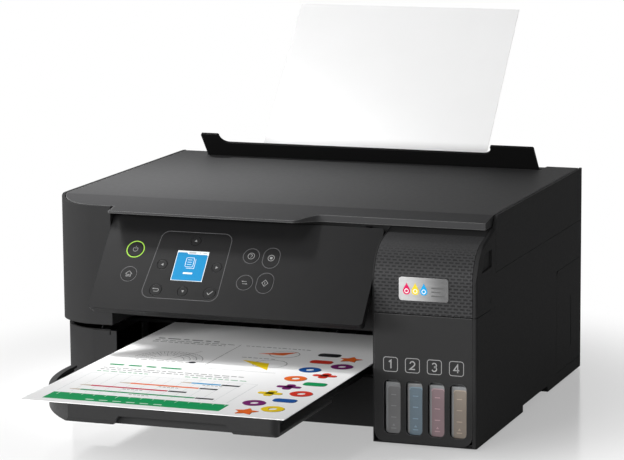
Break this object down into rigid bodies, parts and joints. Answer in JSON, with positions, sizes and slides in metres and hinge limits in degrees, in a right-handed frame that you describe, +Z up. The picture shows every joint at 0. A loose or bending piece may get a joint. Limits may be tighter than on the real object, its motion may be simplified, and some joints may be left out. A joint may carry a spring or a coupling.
{
  "type": "ink tank inkjet printer",
  "caption": "All-in-one ink tank printer with flatbed scanner lid, tilting control panel, rear sheet feed, hinged tank cover and a telescoping output tray holding a printed sheet.",
  "frame": {"origin": "centre of the body's footprint, without the output tray, on the plane of the feet", "axes": "+X to the right seen from the front, +Y to the back where the sheets go in, +Z up"},
  "size_m": [0.375, 0.6104, 0.3024],
  "materials": {
    "body_plastic": "fine grained",
    "front_plastic": "satin, dash texture",
    "feeder_plastic": "satin",
    "tray_plastic": "satin",
    "lid_plastic": "fine grained",
    "panel_plastic": "satin",
    "key_plastic": "satin",
    "lcd": "glossy",
    "badge": "brushed",
    "inner_plastic": "moulded",
    "cap_plastic": "moulded",
    "tank_plastic": "translucent",
    "white_plastic": "foam backed sheet",
    "sheet_steel": "zinc plated",
    "rod_steel": "ground",
    "roller": "matt",
    "pulley": "machined",
    "board": "coated board",
    "glass": "clear",
    "paper": "plain copier sheet"
  },
  "bodies": {
    "base": {"base_housing": "body_plastic", "base_floor": "body_plastic", "rubber_feet": "roller", "left_front_cover": "body_plastic", "tank_front_panel": "front_plastic", "side_access_cover": "body_plastic", "rear_cover": "body_plastic", "feeder_housing": "feeder_plastic", "ink_tanks": "tank_plastic", "main_frame": "sheet_steel", "carriage_rail": "rod_steel", "drive_belt": "roller", "carriage_motor": "sheet_steel", "platen": "inner_plastic", "capping_station": "inner_plastic", "main_board": "board", "power_supply": "inner_plastic", "power_inlet": "inner_plastic"},
    "scanner": {"scanner_housing": "body_plastic", "scanner_glass": "glass", "scan_rail": "rod_steel"},
    "scan_bar": {"scan_bar": "inner_plastic"},
    "lid": {"lid": "lid_plastic", "lid_pad": "white_plastic"},
    "guard": {"feeder_guard": "tray_plastic"},
    "panel": {"control_panel": "panel_plastic", "lcd_module": "lcd"},
    "key_power": {"key_power": "key_plastic"},
    "key_home": {"key_home": "key_plastic"},
    "key_help": {"key_help": "key_plastic"},
    "key_stop": {"key_stop": "key_plastic"},
    "key_swap": {"key_swap": "key_plastic"},
    "key_start": {"key_start": "key_plastic"},
    "key_up": {"key_up": "key_plastic"},
    "key_down": {"key_down": "key_plastic"},
    "key_left": {"key_left": "key_plastic"},
    "key_right": {"key_right": "key_plastic"},
    "key_back": {"key_back": "key_plastic"},
    "key_ok": {"key_ok": "key_plastic"},
    "paper_support": {"paper_support": "feeder_plastic"},
    "support_extension": {"support_extension": "feeder_plastic"},
    "edge_guide_left": {"edge_guide_left": "feeder_plastic"},
    "edge_guide_right": {"edge_guide_right": "feeder_plastic"},
    "blank_sheet": {"blank_sheet": "paper"},
    "printed_sheet": {"printed_sheet": "paper"},
    "output_tray": {"output_tray": "tray_plastic"},
    "tray_extension": {"tray_extension": "tray_plastic"},
    "tank_cover": {"tank_cover": "front_plastic", "badge_plate": "badge"},
    "tank_cap_1": {"tank_cap_1": "cap_plastic"},
    "tank_cap_2": {"tank_cap_2": "cap_plastic"},
    "tank_cap_3": {"tank_cap_3": "cap_plastic"},
    "tank_cap_4": {"tank_cap_4": "cap_plastic"},
    "carriage": {"carriage": "inner_plastic", "print_head": "inner_plastic"},
    "drive_pulley": {"drive_pulley": "pulley"},
    "idler_pulley": {"idler_pulley": "pulley"},
    "feed_roller": {"feed_roller": "roller"},
    "exit_roller": {"exit_roller": "roller"},
    "pickup_roller": {"pickup_roller": "roller"}
  },
  "joints": [
    {"name": "scanner_lift", "type": "hinge", "parent": "base", "child": "scanner", "pos_m": [0, 0.1447, 0.1365], "axis": [1, 0, 0], "range_deg": [-20, 0]},
    {"name": "scan_bar_slide", "type": "slide", "parent": "scanner", "child": "scan_bar", "axis": [1, 0, 0], "range_m": [0, 0.268]},
    {"name": "lid_hinge", "type": "hinge", "parent": "scanner", "child": "lid", "pos_m": [0, 0.1405, 0.171], "axis": [-1, 0, 0], "range_deg": [0, 75]},
    {"name": "guard_hinge", "type": "hinge", "parent": "lid", "child": "guard", "pos_m": [0, 0.125, 0.174], "axis": [1, 0, 0], "range_deg": [-50, 0]},
    {"name": "panel_tilt", "type": "hinge", "parent": "scanner", "child": "panel", "pos_m": [0, -0.1355, 0.1626], "axis": [1, 0, 0], "range_deg": [0, 40]},
    {"name": "key_power_press", "type": "slide", "parent": "panel", "child": "key_power", "axis": [0, 0.766, -0.6428], "range_m": [0, 0.0006], "stiffness_N_per_m": 900},
    {"name": "key_home_press", "type": "slide", "parent": "panel", "child": "key_home", "axis": [0, 0.766, -0.6428], "range_m": [0, 0.0006], "stiffness_N_per_m": 900},
    {"name": "key_help_press", "type": "slide", "parent": "panel", "child": "key_help", "axis": [0, 0.766, -0.6428], "range_m": [0, 0.0006], "stiffness_N_per_m": 900},
    {"name": "key_stop_press", "type": "slide", "parent": "panel", "child": "key_stop", "axis": [0, 0.766, -0.6428], "range_m": [0, 0.0006], "stiffness_N_per_m": 900},
    {"name": "key_swap_press", "type": "slide", "parent": "panel", "child": "key_swap", "axis": [0, 0.766, -0.6428], "range_m": [0, 0.0006], "stiffness_N_per_m": 900},
    {"name": "key_start_press", "type": "slide", "parent": "panel", "child": "key_start", "axis": [0, 0.766, -0.6428], "range_m": [0, 0.0006], "stiffness_N_per_m": 900},
    {"name": "key_up_press", "type": "slide", "parent": "panel", "child": "key_up", "axis": [0, 0.766, -0.6428], "range_m": [0, 0.0006], "stiffness_N_per_m": 900},
    {"name": "key_down_press", "type": "slide", "parent": "panel", "child": "key_down", "axis": [0, 0.766, -0.6428], "range_m": [0, 0.0006], "stiffness_N_per_m": 900},
    {"name": "key_left_press", "type": "slide", "parent": "panel", "child": "key_left", "axis": [0, 0.766, -0.6428], "range_m": [0, 0.0006], "stiffness_N_per_m": 900},
    {"name": "key_right_press", "type": "slide", "parent": "panel", "child": "key_right", "axis": [0, 0.766, -0.6428], "range_m": [0, 0.0006], "stiffness_N_per_m": 900},
    {"name": "key_back_press", "type": "slide", "parent": "panel", "child": "key_back", "axis": [0, 0.766, -0.6428], "range_m": [0, 0.0006], "stiffness_N_per_m": 900},
    {"name": "key_ok_press", "type": "slide", "parent": "panel", "child": "key_ok", "axis": [0, 0.766, -0.6428], "range_m": [0, 0.0006], "stiffness_N_per_m": 900},
    {"name": "paper_support_slide", "type": "slide", "parent": "base", "child": "paper_support", "axis": [0, 0.6561, 0.7547], "range_m": [-0.08, 0]},
    {"name": "support_extension_slide", "type": "slide", "parent": "paper_support", "child": "support_extension", "axis": [0, 0.6561, 0.7547], "range_m": [-0.085, 0]},
    {"name": "edge_guide_left_slide", "type": "slide", "parent": "base", "child": "edge_guide_left", "axis": [-1, 0, 0], "range_m": [0, 0.004]},
    {"name": "edge_guide_right_slide", "type": "slide", "parent": "base", "child": "edge_guide_right", "axis": [1, 0, 0], "range_m": [0, 0.004]},
    {"name": "blank_sheet_slide", "type": "slide", "parent": "base", "child": "blank_sheet", "axis": [0, 0.6561, 0.7547], "range_m": [0, 0.12]},
    {"name": "printed_sheet_slide", "type": "slide", "parent": "base", "child": "printed_sheet", "axis": [0, -1, 0], "range_m": [0, 0.12]},
    {"name": "output_tray_slide", "type": "slide", "parent": "base", "child": "output_tray", "axis": [0, -1, 0], "range_m": [-0.11, 0]},
    {"name": "tray_extension_slide", "type": "slide", "parent": "output_tray", "child": "tray_extension", "axis": [0, -1, 0], "range_m": [-0.105, 0]},
    {"name": "tank_cover_hinge", "type": "hinge", "parent": "base", "child": "tank_cover", "pos_m": [0, -0.1675, 0.11], "axis": [1, 0, 0], "range_deg": [0, 75]},
    {"name": "tank_cap_1_hinge", "type": "hinge", "parent": "base", "child": "tank_cap_1", "pos_m": [0.11875, -0.1351, 0.1002], "axis": [-1, 0, 0], "range_deg": [0, 90]},
    {"name": "tank_cap_2_hinge", "type": "hinge", "parent": "base", "child": "tank_cap_2", "pos_m": [0.13665, -0.1351, 0.1002], "axis": [-1, 0, 0], "range_deg": [0, 90]},
    {"name": "tank_cap_3_hinge", "type": "hinge", "parent": "base", "child": "tank_cap_3", "pos_m": [0.15455, -0.1351, 0.1002], "axis": [-1, 0, 0], "range_deg": [0, 90]},
    {"name": "tank_cap_4_hinge", "type": "hinge", "parent": "base", "child": "tank_cap_4", "pos_m": [0.17245, -0.1351, 0.1002], "axis": [-1, 0, 0], "range_deg": [0, 90]},
    {"name": "carriage_slide", "type": "slide", "parent": "base", "child": "carriage", "axis": [-1, 0, 0], "range_m": [0, 0.235]},
    {"name": "drive_pulley_spin", "type": "hinge", "parent": "base", "child": "drive_pulley", "pos_m": [0.168, 0.0165, 0.112], "axis": [0, 1, 0], "range_deg": [-2, 2106]},
    {"name": "idler_pulley_spin", "type": "hinge", "parent": "base", "child": "idler_pulley", "pos_m": [-0.162, 0.0165, 0.112], "axis": [0, 1, 0], "range_deg": [-2, 2106]},
    {"name": "feed_roller_spin", "type": "hinge", "parent": "base", "child": "feed_roller", "pos_m": [0, 0.0065, 0.057], "axis": [1, 0, 0], "continuous": true},
    {"name": "exit_roller_spin", "type": "hinge", "parent": "base", "child": "exit_roller", "pos_m": [0, -0.0615, 0.0563], "axis": [1, 0, 0], "continuous": true},
    {"name": "pickup_roller_spin", "type": "hinge", "parent": "base", "child": "pickup_roller", "pos_m": [0, 0.0611, 0.105], "axis": [1, 0, 0], "continuous": true}
  ],
  "couplings": [
    {"joint": "drive_pulley_spin", "follows": "carriage_slide", "rad_per_m": 156.25},
    {"joint": "idler_pulley_spin", "follows": "carriage_slide", "rad_per_m": 156.25},
    {"joint": "edge_guide_right_slide", "follows": "edge_guide_left_slide", "ratio": 1},
    {"joint": "exit_roller_spin", "follows": "feed_roller_spin", "ratio": 1}
  ]
}
